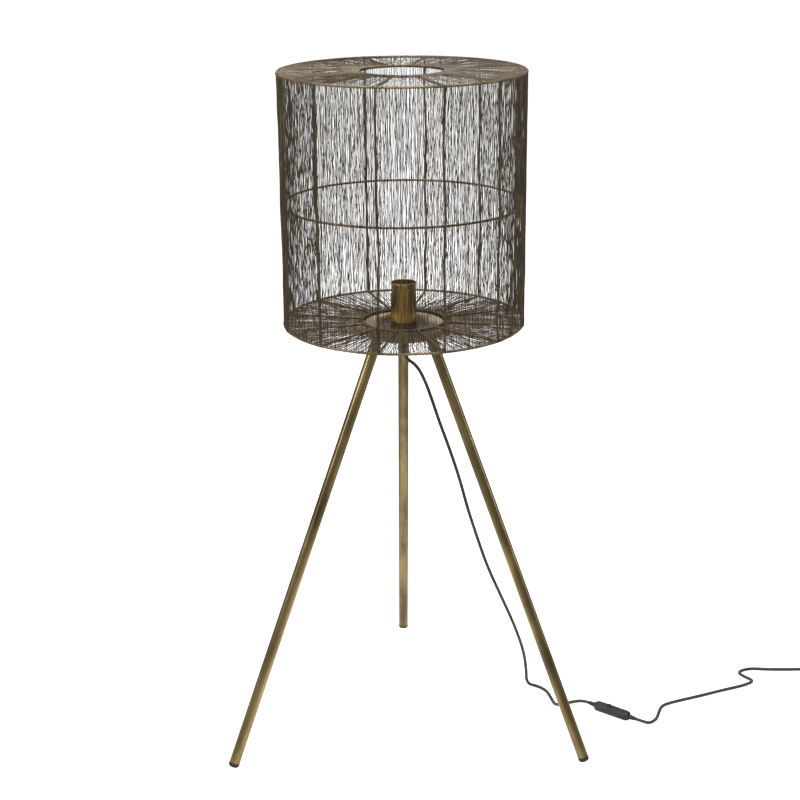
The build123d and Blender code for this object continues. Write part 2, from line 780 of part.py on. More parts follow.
# From the switch over the floor to the coil of spare cord
coil_start = (coil_centre[0] - cord_diameter, coil_centre[1] + coil_outer_radius, coil_floor_level)
floor_route = [
    switch_point(bush_tip, switch_axis),
    switch_point(bush_tip + 11.0, switch_axis),
    (449.0, -60.5, cord_radius),
    (465.0, -45.0, cord_radius),
    (474.0, -18.0, cord_radius),
    (483.5, 5.5, cord_radius),
    (509.0, 19.0, cord_radius),
    (556.0, 37.0, cord_radius),
    (612.0, 61.5, cord_radius),
    (654.0, 77.5, cord_radius),
    (680.0, 95.0, cord_radius),
    (664.0, 112.5, cord_radius),
    (654.0, 132.0, cord_radius),
    (680.0, 147.0, cord_radius),
    (718.0, 141.0, cord_radius),
    (762.0, 139.5, cord_radius),
    (800.0, 138.5, coil_floor_level),
    (coil_start[0] - 14.0, coil_start[1], coil_floor_level),
    coil_start,
]
nodes["power_cord_lower"] = free_cord("power_cord_lower", floor_route)


def coil_point(side, forward, level):
    """Coil layout: side is away from the viewer, forward is away from the lamp."""
    return coil_centre[0] + forward, coil_centre[1] + side, level


def coil_path():
    """Half turns that spiral in, climb one layer, and spiral out again."""
    step = coil_pitch / 2
    level = coil_floor_level
    side = coil_outer_radius
    heading = 1
    edges = [Line(coil_point(side, -cord_diameter, level), coil_point(side, 0, level))]

    def half_turn(side, heading, radius, level):
        end = side - heading * 2 * radius
        arc = ThreePointArc(
            coil_point(side, 0, level),
            coil_point((side + end) / 2, heading * radius, level),
            coil_point(end, 0, level))
        return end, arc

    radii = [coil_outer_radius - step * k for k in range(coil_half_turns)]
    for radius in radii:
        side, arc = half_turn(side, heading, radius, level)
        edges.append(arc)
        heading = -heading

    climb_radius = radii[-1] - step
    reach = math.hypot(climb_radius, coil_pitch / 2)
    far = side - heading * 2 * climb_radius
    crest = coil_point((side + far) / 2, heading * reach, level + coil_pitch / 2)
    edges.append(TangentArc(coil_point(side, 0, level), crest, tangent=(heading, 0, 0)))
    edges.append(TangentArc(crest, coil_point(far, 0, level + coil_pitch), tangent=edges[-1] % 1))
    side = far
    heading = -heading
    level += coil_pitch

    for radius in reversed(radii[1:]):
        side, arc = half_turn(side, heading, radius, level)
        edges.append(arc)
        heading = -heading
    edges.append(Line(coil_point(side, 0, level), coil_point(side, cord_diameter, level)))
    return edges, coil_point(side, cord_diameter, level)


def least_gap(edges, samples_per_edge=48):
    """Smallest clear space between turns of a path, measured on points."""
    points = []
    run = 0.0
    for edge in edges:
        for k in range(samples_per_edge):
            points.append((run + edge.length * k / samples_per_edge, edge @ (k / samples_per_edge)))
        run += edge.length
    least = float("inf")
    apart = math.pi * coil_outer_radius / 2
    for i, (first_run, first) in enumerate(points):
        for second_run, second in points[i + 1:]:
            if second_run - first_run > apart:
                least = min(least, (second - first).length)
    return least - cord_diameter


coil_edges, coil_end = coil_path()
coil_wire = Wire(coil_edges)
coil_section = Plane(origin=coil_wire @ 0, z_dir=coil_wire % 0) * Circle(cord_radius)
coil = sweep(coil_section, path=coil_wire)
print("power_cord_coil length", round(coil_wire.length, 1), "volume over section x length",
      round(coil.volume / (math.pi * cord_radius ** 2 * coil_wire.length), 5),
      "least gap", round(least_gap(coil_edges), 3))
nodes["power_cord_coil"] = coil

# The tie goes round the bundle of turns at one place
bundle_out = coil_outer_radius + cord_radius + tie_slack
bundle_in = coil_outer_radius - coil_pitch * coil_half_turns / 2 - cord_radius - tie_inner_slack
bundle_low = coil_floor_level - cord_radius - tie_slack
bundle_high = coil_floor_level + coil_pitch + cord_radius + tie_slack
tie_hole = block((bundle_in, -tie_width, bundle_low), (bundle_out, tie_width, bundle_high))
tie_band = block(
    (bundle_in - tie_thickness, -tie_width / 2, bundle_low - tie_thickness),
    (bundle_out + tie_thickness, tie_width / 2, bundle_high + tie_thickness))
nodes["cord_tie"] = Pos(coil_centre[0], coil_centre[1], 0) * Rot(0, 0, tie_angle) * (tie_band - tie_hole)

# ---------------------------------------------------------------------- plug


def in_plug(shape):
    """Place a piece drawn along +X from the cord's entry, at mid thickness."""
    return Pos(plug_place[0], plug_place[1], plug_axis) * Rot(0, 0, plug_turn) * shape


neck = plug_relief_length
front = neck + plug_body_length
shoulder = neck + plug_shoulder_length
outline = Polyline(
    (neck, -plug_neck_width / 2),
    (shoulder, -plug_width / 2),
    (front, -plug_width / 2),
    (front, plug_width / 2),
    (shoulder, plug_width / 2),
    (neck, plug_neck_width / 2),
    close=True,
)
plug = extrude(make_face(outline), amount=plug_thickness / 2, both=True)
plug = fillet(plug.edges().filter_by(Axis.Z, reverse=True), plug_rounding)
relief = along_x * turned([
    (0, 0),
    (cord_radius + plug_relief_wall, 0),
    (plug_neck_radius, neck + plug_relief_overlap),
    (0, neck + plug_relief_overlap),
])
plug += relief
pin_holes = []
pins = []
sleeves = []
for side in (-1, 1):
    beside = Pos(0, side * plug_pin_spacing / 2, 0) * along_x
    pin = upright(plug_pin_core, front - plug_pin_root, front + plug_sleeve_length)
    tip = upright(plug_pin_radius, front + plug_sleeve_length, front + plug_pin_length)
    tip = fillet(tip.edges().sort_by(Axis.Z)[-1], plug_pin_rounding)
    pins.append(in_plug(beside * (pin + tip)))
    sleeves.append(in_plug(beside * upright(
        plug_pin_radius, front, front + plug_sleeve_length, plug_pin_core + thread_clearance)))
    pin_holes.append(beside * upright(
        plug_pin_core + thread_clearance, front - plug_pin_root, front + plug_sleeve_length))
plug -= pin_holes
nodes["plug_body"] = in_plug(plug)
nodes["plug_pins"] = group(pins)
nodes["plug_pin_sleeves"] = group(sleeves)

plug_entry = (plug_place[0], plug_place[1], plug_axis)
tail_route = [
    coil_end,
    (coil_end[0] + 14.0, coil_end[1], coil_end[2]),
    (coil_end[0] + 36.0, coil_end[1] - 5.0, plug_axis + 1.0),
    (plug_entry[0] - 9.0, plug_entry[1] + 42.0, plug_axis),
    (plug_entry[0], plug_entry[1] + 18.0, plug_axis),
    plug_entry,
]
nodes["power_cord_tail"] = free_cord("power_cord_tail", tail_route)

# -------------------------------------------------------------------- export

cord_words = ("power_cord_", "switch_", "plug_", "cord_tie")
boxes = [shape.bounding_box() for name, shape in nodes.items() if not name.startswith(cord_words)]
front_most = min(box.min.Y for box in boxes)
back_most = max(box.max.Y for box in boxes)
lamp_axis_y = -(front_most + back_most) / 2
print("lamp axis at y =", round(lamp_axis_y, 4), "top at", round(max(box.max.Z for box in boxes), 3))

os.makedirs("parts", exist_ok=True)
for name, shape in nodes.items():
    export_step(Pos(0, lamp_axis_y, 0) * shape, "parts/" + name + ".step")
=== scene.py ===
import json
import math

import bpy
import numpy as np
from mathutils import Matrix, Vector


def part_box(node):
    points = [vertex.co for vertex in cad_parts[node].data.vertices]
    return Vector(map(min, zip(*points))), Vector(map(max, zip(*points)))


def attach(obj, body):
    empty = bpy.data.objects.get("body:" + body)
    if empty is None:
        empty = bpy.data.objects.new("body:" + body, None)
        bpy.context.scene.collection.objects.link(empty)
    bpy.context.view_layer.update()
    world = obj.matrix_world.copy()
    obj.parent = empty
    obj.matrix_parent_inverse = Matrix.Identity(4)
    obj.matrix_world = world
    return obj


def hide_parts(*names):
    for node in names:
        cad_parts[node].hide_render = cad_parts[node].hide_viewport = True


# Floor lamp with a wire cage shade on three splayed brass legs, with its cord,
# inline switch and plug.  Metres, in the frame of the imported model, floor at Z = 0.

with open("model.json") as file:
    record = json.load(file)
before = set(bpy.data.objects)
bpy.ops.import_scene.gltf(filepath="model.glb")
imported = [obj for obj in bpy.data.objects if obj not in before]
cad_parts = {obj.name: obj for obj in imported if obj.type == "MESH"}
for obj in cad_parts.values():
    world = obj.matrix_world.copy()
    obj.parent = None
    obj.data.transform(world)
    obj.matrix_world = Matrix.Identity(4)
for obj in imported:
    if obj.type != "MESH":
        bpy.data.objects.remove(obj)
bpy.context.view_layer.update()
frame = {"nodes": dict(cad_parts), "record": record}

# ------------------------------------------------------------ sizes and places

# The camera, fitted to the photograph
camera_place = (-0.0443, -2.7599, 1.5193)
camera_heading = math.radians(0.779)     # from +Y towards +X
camera_pitch = math.radians(18.503)      # downwards
camera_roll = math.radians(-0.521)
camera_lens = 72.03                      # millimetres, on a sensor 36 mm wide
camera_sensor = 36.0

# Shade
bay_count = 12
shade_turn = math.radians(17.6)          # from +X to the first stile
wires_per_bay = 58
wire_sides = 5
wall_steps = 56                          # points of a fine wire down the wall
top_steps = 16                           # across the top
bottom_steps = 12                        # and across the bottom
wall_wander = 0.0010                     # sideways wander of a fine wire on the wall
top_wander = 0.0034                      # on the top
bottom_wander = 0.0018                   # and on the bottom
wall_puff = 0.0005                       # how far single wires stand out of the wall
ripple = 0.0011                          # how far groups of wires rise on the top
top_lift = 0.0004                        # most that a single wire rises there
bottom_sag = 0.0012                      # most that it sags on the bottom
hook_slack = 0.00015                     # how far a wire's end hooks differ in radius
wall_draw_in = 0.0036                    # how far the wires draw in between two stiles
middle_hold = 0.07                       # share of the wall over which the middle ring holds them out
stile_wander = 0.0012
stile_points = 60
stile_sides = 14
weld_bead = 0.0026

# Dish, sleeve and tie
nipple_hole = 0.00505
brim_width = 0.0057                      # from the dish's edge to its skirt
dish_wall = 0.0015
sleeve_wall = 0.001
sleeve_floor = 0.0015
sleeve_foot_edge = ((0.0012, 0.0), (0.0003, 0.0004), (0.0, 0.0013))     # inwards and up from its corner
rim_bead = 0.0011
tie_thickness = 0.0008
tie_bevel = 0.0004
tie_corner = 0.0035

# Cord
cord_radius = 0.003
switch_place = (0.3855, -0.019)          # about the lamp's axis, as all the route's points
switch_turn = math.radians(-38.9)
switch_axis = 0.00725
bush_tip = 0.050                         # from the switch's middle to the end of its bush
coil_place = (0.842, 0.101)
coil_outer_radius = 0.0379
coil_pitch = 0.0065
coil_floor_level = 0.0041
coil_half_turns = 4
coil_steps = 6                           # control points in each half turn
plug_axis = 0.00685

# Studio
# Painted light: the next two floor colours paint a pool of light on the floor. It is lit under the lamp
# and dim further out. Only reflections and the floor's glow onto the lamp show it, and the camera sees the
# floor evenly pale.
floor_painted_lit = (0.90, 0.89, 0.87)          # the floor as the lamp's metal sees it, under the lamp
floor_painted_dim = (0.32, 0.31, 0.30)           # and out of the light
floor_painted_pool_reach = (0.24, 0.72)           # distances between which the one passes into the other
floor_glow, floor_painted_bounce = 0.92, 0.35    # its own light, as the camera and as the metal see it
floor_reach = 30.0                       # half its width
floor_drop = -0.0002                     # a little under the feet
world_seen, world_light = 1.2, 0.20      # the world's strength, to the camera and as a light
light_target = (0.0, 0.0, 0.7)

# ------------------------------------------------------------- frame readings


def centre_of(node):
    low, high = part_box(node)
    return (low + high) / 2


def ring_of(node):
    """Centre-line radius, level and wire radius of a ring of the frame."""
    low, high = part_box(node)
    wire = (high.z - low.z) / 2
    return (high.x - low.x) / 2 - wire, (high.z + low.z) / 2, wire


axis = centre_of("lampholder_cup")
outer_radius, top_level, frame_radius = ring_of("shade_top_outer_ring")
inner_radius = ring_of("shade_top_inner_ring")[0]
mid_radius, mid_level, _ = ring_of("shade_mid_ring")
bottom_level = ring_of("shade_bottom_outer_ring")[1]
mid_share = (top_level - mid_level) / (top_level - bottom_level)     # of the way down the wall
net_low, net_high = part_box("shade_top_wires")
fine_radius = (net_high.z - net_low.z) / 2
hook_radius = frame_radius + fine_radius     # from a ring's centre to a wire that goes round it
bay_angle = 2 * math.pi / bay_count
relief_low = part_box("strain_relief")[0]
dish_low, dish_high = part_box("base_dish")
cup_low, cup_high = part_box("lampholder_cup")
tie_low, tie_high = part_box("cord_tie")

# ----------------------------------------------------------------- node tools


def new_material(name):
    material = bpy.data.materials.new(name)
    material.use_nodes = True
    return material, material.node_tree, material.node_tree.nodes["Principled BSDF"]


def add_node(tree, kind, links=None, **settings):
    """A shader node; links gives its inputs, as numbers or as other nodes' outputs."""
    made = tree.nodes.new(kind)
    for key, value in settings.items():
        setattr(made, key, value)
    for key, value in (links or {}).items():
        if isinstance(value, bpy.types.NodeSocket):
            tree.links.new(value, made.inputs[key])
        else:
            made.inputs[key].default_value = value
    return made


def object_points(tree, scale=(1, 1, 1), turn=(0, 0, 0)):
    """The piece's own coordinates in metres, turned and then scaled."""
    place = add_node(tree, "ShaderNodeTexCoord").outputs["Object"]
    turned = add_node(tree, "ShaderNodeMapping", {"Vector": place, "Rotation": turn})
    return add_node(tree, "ShaderNodeMapping", {"Vector": turned.outputs[0], "Scale": scale}).outputs[0]


def noise(tree, points, scale, detail, roughness, distortion=0.0):
    links = {"Vector": points, "Scale": scale, "Detail": detail,
             "Roughness": roughness, "Distortion": distortion}
    return add_node(tree, "ShaderNodeTexNoise", links).outputs["Fac"]


def blend_colours(tree, factor, stops):
    """A colour ramp through (position, colour) stops."""
    made = add_node(tree, "ShaderNodeValToRGB", {"Fac": factor})
    ramp = made.color_ramp
    while len(ramp.elements) < len(stops):
        ramp.elements.new(0.5)
    for element, (position, colour) in zip(ramp.elements, stops):
        element.position = position
        element.color = (*colour, 1)
    return made.outputs["Color"]


def remap(tree, value, low, high, start=0.0, end=1.0):
    links = {"Value": value, "From Min": start, "From Max": end, "To Min": low, "To Max": high}
    return add_node(tree, "ShaderNodeMapRange", links).outputs["Result"]


def mixed(tree, factor, first, second):
    made = add_node(tree, "ShaderNodeMix", data_type="RGBA")
    for socket, value in ((made.inputs[0], factor), (made.inputs[6], first), (made.inputs[7], second)):
        if isinstance(value, bpy.types.NodeSocket):
            tree.links.new(value, socket)
        else:
            socket.default_value = value if isinstance(value, float) else (*value, 1)
    return made.outputs[2]


def bumped(tree, shader, height, depth, strength):
    """Bump of a given depth in metres."""
    bump = add_node(tree, "ShaderNodeBump", {"Height": height, "Distance": depth, "Strength": strength})
    tree.links.new(bump.outputs["Normal"], shader.inputs["Normal"])


def plug_in(tree, shader, **inputs):
    names = {"colour": "Base Color", "metal": "Metallic", "rough": "Roughness",
             "coat": "Coat Weight", "coat_rough": "Coat Roughness", "sheen": "Sheen Weight"}
    for key, value in inputs.items():
        socket = shader.inputs[names[key]]
        if isinstance(value, bpy.types.NodeSocket):
            tree.links.new(value, socket)
        else:
            socket.default_value = value


# ------------------------------------------------------------------ materials


def frame_wire_material():
    """Welded wire in dark antique bronze, with redder and greyer stretches."""
    material, tree, shader = new_material("frame_wire")
    patches = noise(tree, object_points(tree), 26.0, 4.0, 0.6)
    grain = noise(tree, object_points(tree), 900.0, 3.0, 0.6)
    colour = blend_colours(tree, patches, [
        (0.30, (0.110, 0.086, 0.062)), (0.48, (0.270, 0.190, 0.112)), (0.68, (0.460, 0.320, 0.170))])
    colour = mixed(tree, remap(tree, grain, 0.0, 0.5, 0.45, 0.75), colour, (0.05, 0.04, 0.032))
    plug_in(tree, shader, colour=colour, metal=0.65, rough=remap(tree, grain, 0.34, 0.56))
    bumped(tree, shader, grain, 0.00008, 0.5)
    return material


def fine_wire_material():
    """Thin drawn wire in bronze lacquer: each wire a little lighter or darker than the next."""
    material, tree, shader = new_material("fine_wire")
    streaks = noise(tree, object_points(tree, (420.0, 420.0, 14.0)), 1.0, 2.0, 0.6)
    patches = noise(tree, object_points(tree), 18.0, 3.0, 0.5)
    colour = blend_colours(tree, streaks, [
        (0.28, (0.075, 0.060, 0.043)), (0.52, (0.180, 0.142, 0.097)), (0.75, (0.460, 0.355, 0.205))])
    colour = mixed(tree, remap(tree, patches, 0.0, 0.5, 0.35, 0.7), colour, (0.115, 0.094, 0.070))
    plug_in(tree, shader, colour=colour, metal=0.7, rough=remap(tree, streaks, 0.30, 0.46))
    return material


def brass_material(name, turn, tones, stretch=0.04, rough=(0.20, 0.36)):
    """Antique brass plating under lacquer: drawn lines along one axis and darker clouds."""
    material, tree, shader = new_material(name)
    lines = noise(tree, object_points(tree, (1.0, 1.0, stretch), turn), 520.0, 4.0, 0.65)
    clouds = noise(tree, object_points(tree, (1.0, 1.0, 0.3), turn), 22.0, 5.0, 0.6, 0.4)
    specks = noise(tree, object_points(tree), 1400.0, 2.0, 0.5)
    dark, middle, light = tones
    colour = blend_colours(tree, clouds, [(0.32, dark), (0.52, middle), (0.72, light)])
    colour = mixed(tree, remap(tree, lines, 0.0, 0.35, 0.50, 0.80), colour, dark)
    colour = mixed(tree, remap(tree, specks, 0.0, 0.6, 0.66, 0.80), colour, (0.05, 0.036, 0.02))
    roughness = add_node(tree, "ShaderNodeMath", {
        0: remap(tree, lines, rough[0], rough[1]), 1: remap(tree, clouds, -0.04, 0.06)}, operation="ADD")
    plug_in(tree, shader, colour=colour, metal=1.0, rough=roughness.outputs[0], coat=0.25, coat_rough=0.22)
    bumped(tree, shader, lines, 0.00003, 0.5)
    return material


def plated_material(name, colour, rough):
    """Small turned or pressed metal pieces."""
    material, tree, shader = new_material(name)
    grain = noise(tree, object_points(tree), 700.0, 4.0, 0.6)
    tone = blend_colours(tree, grain, [(0.3, tuple(0.72 * c for c in colour)), (0.7, colour)])
    plug_in(tree, shader, colour=tone, metal=1.0, rough=remap(tree, grain, rough, rough + 0.16))
    bumped(tree, shader, grain, 0.00004, 0.4)
    return material


def moulded_material(name, colour, rough, grain_scale, grain_depth):
    """Moulded plastic or rubber with a fine spark-eroded grain and slight unevenness."""
    material, tree, shader = new_material(name)
    grain = noise(tree, object_points(tree), grain_scale, 3.0, 0.6)
    wear = noise(tree, object_points(tree), 40.0, 4.0, 0.6)
    light = tuple(min(1.0, 1.8 * c + 0.012) for c in colour)
    tone = blend_colours(tree, wear, [(0.38, colour), (0.78, light)])
    plug_in(tree, shader, colour=tone, rough=remap(tree, wear, rough - 0.05, rough + 0.10))
    bumped(tree, shader, grain, grain_depth, 0.6)
    return material


def woven_material(name, colour, light, scale):
    """A narrow woven strap: warp and weft as two crossed waves."""
    material, tree, shader = new_material(name)
    points = object_points(tree)
    warp = add_node(tree, "ShaderNodeTexWave", {"Vector": points, "Scale": scale, "Distortion": 0.6},
                    bands_direction="Y").outputs["Fac"]
    weft = add_node(tree, "ShaderNodeTexWave", {"Vector": points, "Scale": scale, "Distortion": 0.6},
                    bands_direction="Z").outputs["Fac"]
    weave = add_node(tree, "ShaderNodeMath", {0: warp, 1: weft}, operation="MULTIPLY").outputs[0]
    tone = blend_colours(tree, weave, [(0.1, colour), (0.8, light)])
    plug_in(tree, shader, colour=tone, rough=0.85, sheen=0.3)
    bumped(tree, shader, weave, 0.0002, 0.8)
    return material


def floor_material():
    """Pale floor: bright to the eye; what reflects it sees a painted pool of light, lit under the lamp and
    dim further out.
    """
    material, tree, shader = new_material("floor")
    mottle = noise(tree, object_points(tree), 1.5, 3.0, 0.5)
    pale = blend_colours(tree, mottle, [(0.3, (0.88, 0.88, 0.88)), (0.7, (0.90, 0.90, 0.90))])
    seen = add_node(tree, "ShaderNodeLightPath").outputs["Is Camera Ray"]
    # painted light: the pool fades from its lit colour under the lamp to its dim colour further out
    away = add_node(tree, "ShaderNodeVectorMath", {0: object_points(tree)}, operation="LENGTH")
    far = remap(tree, away.outputs["Value"], 0.0, 1.0, *floor_painted_pool_reach)
    painted_pool = mixed(tree, far, floor_painted_lit, floor_painted_dim)
    plug_in(tree, shader, colour=mixed(tree, seen, painted_pool, pale), rough=0.9)
    shader.inputs["Specular IOR Level"].default_value = 0.0
    # the floor glows towards the lamp with the same painted pool of light, and evenly white to the camera
    tree.links.new(mixed(tree, seen, painted_pool, (1, 1, 1)), shader.inputs["Emission Color"])
    tree.links.new(remap(tree, seen, floor_painted_bounce, floor_glow), shader.inputs["Emission Strength"])
    return material


brass_tones = ((0.150, 0.105, 0.043), (0.345, 0.262, 0.115), (0.540, 0.420, 0.190))
# Painted light: a lighter copy of the brass tones, which the sleeve takes to stand in for the light it
# catches
sleeve_painted_lit_tones = ((0.230, 0.168, 0.070), (0.520, 0.405, 0.180), (0.760, 0.610, 0.290))
upright_turn = (0.0, 0.0, 0.0)
materials = {
    "frame_wire": frame_wire_material(),
    "fine_wire": fine_wire_material(),
    "antique_brass": brass_material("antique_brass", upright_turn, brass_tones),
    "steel": plated_material("steel", (0.60, 0.60, 0.58), 0.28),
    "contact_brass": plated_material("contact_brass", (0.74, 0.60, 0.30), 0.22),
    "plug_nickel": plated_material("plug_nickel", (0.78, 0.77, 0.74), 0.14),
    "ceramic": moulded_material("ceramic", (0.030, 0.026, 0.022), 0.30, 500.0, 0.00003),
    "black_plastic": moulded_material("black_plastic", (0.030, 0.028, 0.026), 0.42, 1600.0, 0.00003),
    "switch_plastic": moulded_material("switch_plastic", (0.024, 0.022, 0.021), 0.34, 1600.0, 0.00002),
    "plug_plastic": moulded_material("plug_plastic", (0.032, 0.030, 0.028), 0.44, 1300.0, 0.00004),
    "foot_rubber": moulded_material("foot_rubber", (0.030, 0.025, 0.021), 0.62, 900.0, 0.00006),
    "cord_sheath": moulded_material("cord_sheath", (0.050, 0.048, 0.043), 0.55, 1800.0, 0.00004),
    "lead_insulation": moulded_material("lead_insulation", (0.16, 0.075, 0.035), 0.40, 900.0, 0.00002),
    "tie_fabric": woven_material("tie_fabric", (0.020, 0.020, 0.021), (0.075, 0.075, 0.078), 420.0),
}

leg_parts = {}
for leg_name in ("back", "left", "right"):
    foot = centre_of("foot_cap_" + leg_name)
    head = centre_of("leg_socket_" + leg_name)
    slope = (head - foot).to_track_quat("Z", "Y").to_matrix().transposed().to_euler()
    brass = brass_material("brass_leg_" + leg_name, tuple(slope), brass_tones, 0.012)
    leg_parts["leg_" + leg_name] = brass
    leg_parts["leg_socket_" + leg_name] = brass

# ----------------------------------------------------------------- mesh tools


def mesh_object(name, points, faces, slot):
    """A smooth-shaded mesh that takes a slot's finish and rides on the lamp."""
    mesh = bpy.data.meshes.new(name)
    mesh.from_pydata(points, [], faces)
    mesh.update()
    mesh.polygons.foreach_set("use_smooth", np.ones(len(mesh.polygons), bool))
    piece = bpy.data.objects.new(name, mesh)
    bpy.context.scene.collection.objects.link(piece)
    piece.data.materials.append(materials[slot])
    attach(piece, "lamp")
    return piece


def tubes(paths, radius, sides):
    """Points and faces of closed round tubes along paths, an array of (tube, point, xyz)."""
    count, steps, _ = paths.shape
    heading = np.gradient(paths, axis=1)
    heading /= np.linalg.norm(heading, axis=2, keepdims=True)
    steep = np.abs(heading[:, :1, 2]) >= 0.9
    aside = np.cross(heading[:, 0], np.where(steep, (1.0, 0.0, 0.0), (0.0, 0.0, 1.0)))
    turns = 2 * np.pi * np.arange(sides) / sides
    rings = np.empty((count, steps, sides, 3))
    for k in range(steps):
        aside -= heading[:, k] * np.sum(aside * heading[:, k], axis=1, keepdims=True)
        aside /= np.linalg.norm(aside, axis=1, keepdims=True)
        across = np.cross(heading[:, k], aside)
        rings[:, k] = paths[:, k, None] + radius * (
            np.cos(turns)[None, :, None] * aside[:, None]
            + np.sin(turns)[None, :, None] * across[:, None])
    faces = []
    for tube in range(count):
        base = tube * steps * sides
        for k in range(steps - 1):
            low = base + k * sides
            for s in range(sides):
                t = (s + 1) % sides
                faces.append((low + s, low + t, low + sides + t, low + sides + s))
        faces.append(tuple(base + s for s in reversed(range(sides))))
        faces.append(tuple(base + (steps - 1) * sides + s for s in range(sides)))
    return rings.reshape(-1, 3), faces


def lathe(name, profile, slot, steps):
    """A closed (radius, level) profile turned about the lamp's axis."""
    points, faces = [], []
    for k in range(steps):
        angle = 2 * math.pi * k / steps
        for radius, level in profile:
            points.append((axis.x + radius * math.cos(angle), axis.y + radius * math.sin(angle), level))
    count = len(profile)
    for k in range(steps):
        here, there = k * count, (k + 1) % steps * count
        for i in range(count):
            j = (i + 1) % count
            faces.append((here + i, there + i, there + j, here + j))
    return mesh_object(name, points, faces, slot)


def rounded(profile, radii, steps=5):
    """A closed profile with its corners rounded, each by its own radius."""
    made = []
    count = len(profile)
    for i, radius in enumerate(radii):
        corner = Vector(profile[i])
        before = (Vector(profile[i - 1]) - corner).normalized()
        after = (Vector(profile[(i + 1) % count]) - corner).normalized()
        if radius == 0:
            made.append(tuple(corner))
            continue
        half = before.angle(after) / 2
        reach = radius / math.tan(half)
        centre = corner + (before + after).normalized() * radius / math.sin(half)
        start = corner + before * reach - centre
        end = corner + after * reach - centre
        for k in range(steps + 1):
            share = k / steps
            spoke = start.slerp(end, share) if start.angle(end) > 1e-6 else start
            made.append(tuple(centre + spoke.normalized() * radius))
    return made


# --------------------------------------------------------------------- camera


def make_camera():
    level = math.cos(camera_pitch)
    forward = Vector((math.sin(camera_heading) * level, math.cos(camera_heading) * level,
                      -math.sin(camera_pitch)))
    right = Vector((math.cos(camera_heading), -math.sin(camera_heading), 0))
    up = right.cross(forward)
    turned_right = right * math.cos(camera_roll) + up * math.sin(camera_roll)
    turned_up = up * math.cos(camera_roll) - right * math.sin(camera_roll)
    data = bpy.data.cameras.new("camera")
    data.lens = camera_lens
    data.sensor_width = camera_sensor
    data.clip_end = 100
    camera = bpy.data.objects.new("camera", data)
    bpy.context.scene.collection.objects.link(camera)
    turn = Matrix((turned_right, turned_up, -forward)).transposed().to_4x4()
    camera.matrix_world = Matrix.Translation(camera_place) @ turn
    bpy.context.scene.camera = camera


make_camera()

# ---------------------------------------------------------------------- cords


def switch_point(along):
    """A point on the switch's long axis, about the lamp's axis."""
    return (switch_place[0] + along * math.cos(switch_turn),
            switch_place[1] + along * math.sin(switch_turn), switch_axis)


hanging_route = [
    (0.0, 0.0, relief_low.z),
    (0.0, 0.0, 0.701),
    (0.023, 0.009, 0.683),
    (0.038, 0.0155, 0.650),
    (0.050, 0.0215, 0.613),
    (0.0625, 0.026, 0.572),
    (0.0815, 0.035, 0.516),
    (0.0995, 0.0415, 0.458),
    (0.1145, 0.049, 0.397),
    (0.134, 0.056, 0.332),
    (0.1535, 0.0655, 0.270),
    (0.181, 0.076, 0.203),
    (0.2105, 0.0895, 0.130),
    (0.228, 0.096, 0.075),
    (0.234, 0.0995, 0.035),
    (0.235, 0.099, cord_radius),
    (0.256, 0.088, cord_radius),
    (0.271, 0.070, cord_radius),
    (0.2765, 0.043, cord_radius),
    (0.2815, 0.012, cord_radius),
    (0.302, 0.019, cord_radius),
    (0.321, 0.0265, cord_radius),
    switch_point(-bush_tip - 0.013),
    switch_point(-bush_tip),
]
floor_route = [
    switch_point(bush_tip),
    switch_point(bush_tip + 0.011),
    (0.449, -0.0605, cord_radius),
    (0.465, -0.045, cord_radius),
    (0.474, -0.018, cord_radius),
    (0.4835, 0.0055, cord_radius),
    (0.509, 0.019, cord_radius),
    (0.556, 0.037, cord_radius),
    (0.612, 0.0615, cord_radius),
    (0.654, 0.0775, cord_radius),
    (0.680, 0.095, cord_radius),
    (0.664, 0.1125, cord_radius),
    (0.654, 0.132, cord_radius),
    (0.680, 0.147, cord_radius),
    (0.718, 0.141, cord_radius),
    (0.762, 0.1395, cord_radius),
    (0.800, 0.1385, coil_floor_level),
    (0.822, 0.1389, coil_floor_level),
    (0.836, 0.1389, coil_floor_level),
]
tail_route = [
    (0.862, 0.1389, 0.0106),
    (0.884, 0.1339, 0.00785),
    (0.902, 0.104, plug_axis),
    (0.911, 0.080, plug_axis),
    (0.911, 0.062, plug_axis),
]


def coil_route():
    """Half turns that spiral in on the floor, climb one layer, and spiral out on top."""
    step = coil_pitch / 2
    top = coil_floor_level + coil_pitch
    radii = [coil_outer_radius - step * k for k in range(coil_half_turns)]
    halves = [(radius, coil_floor_level, coil_floor_level) for radius in radii]
    halves.append((radii[-1] - step, coil_floor_level, top))
    halves += [(radius, top, top) for radius in reversed(radii[1:])]
    spread = 1 / math.cos(math.pi / (2 * coil_steps))
    points = []
    side, heading = coil_outer_radius, 1
    for radius, low, high in halves:
        middle = side - heading * radius
        for k in range(coil_steps):
            share = (k + 0.5) / coil_steps
            turn = math.pi * share
            rise = share * share * (3 - 2 * share)
            points.append((
                coil_place[0] + heading * radius * spread * math.sin(turn),
                coil_place[1] + middle + heading * radius * spread * math.cos(turn),
                low + (high - low) * rise))
        side -= heading * 2 * radius
        heading = -heading
    return points


def cord(name, route):
    """A round cord on one smooth line, whose control points are the route's."""
    data = bpy.data.curves.new(name, "CURVE")
    data.dimensions = "3D"
    spline = data.splines.new("NURBS")
    spline.points.add(len(route) - 1)
    for point, (x, y, z) in zip(spline.points, route):
        point.co = (axis.x + x, axis.y + y, z, 1)
    spline.order_u = 3
    spline.use_endpoint_u = True
    spline.resolution_u = 8
    data.bevel_depth = cord_radius
    data.bevel_resolution = 5
    data.use_fill_caps = True
    piece = bpy.data.objects.new(name, data)
    bpy.context.scene.collection.objects.link(piece)
    data.materials.append(materials["cord_sheath"])
    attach(piece, "lamp")
    return piece


upper_cord = cord("mains_cord_to_switch", hanging_route)
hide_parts("power_cord_upper")

lower_cord = cord("mains_cord_to_plug", floor_route + coil_route() + tail_route)
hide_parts("power_cord_lower", "power_cord_coil", "power_cord_tail")

# ---------------------------------------------------------------- shade wires

draw = np.random.default_rng(417)


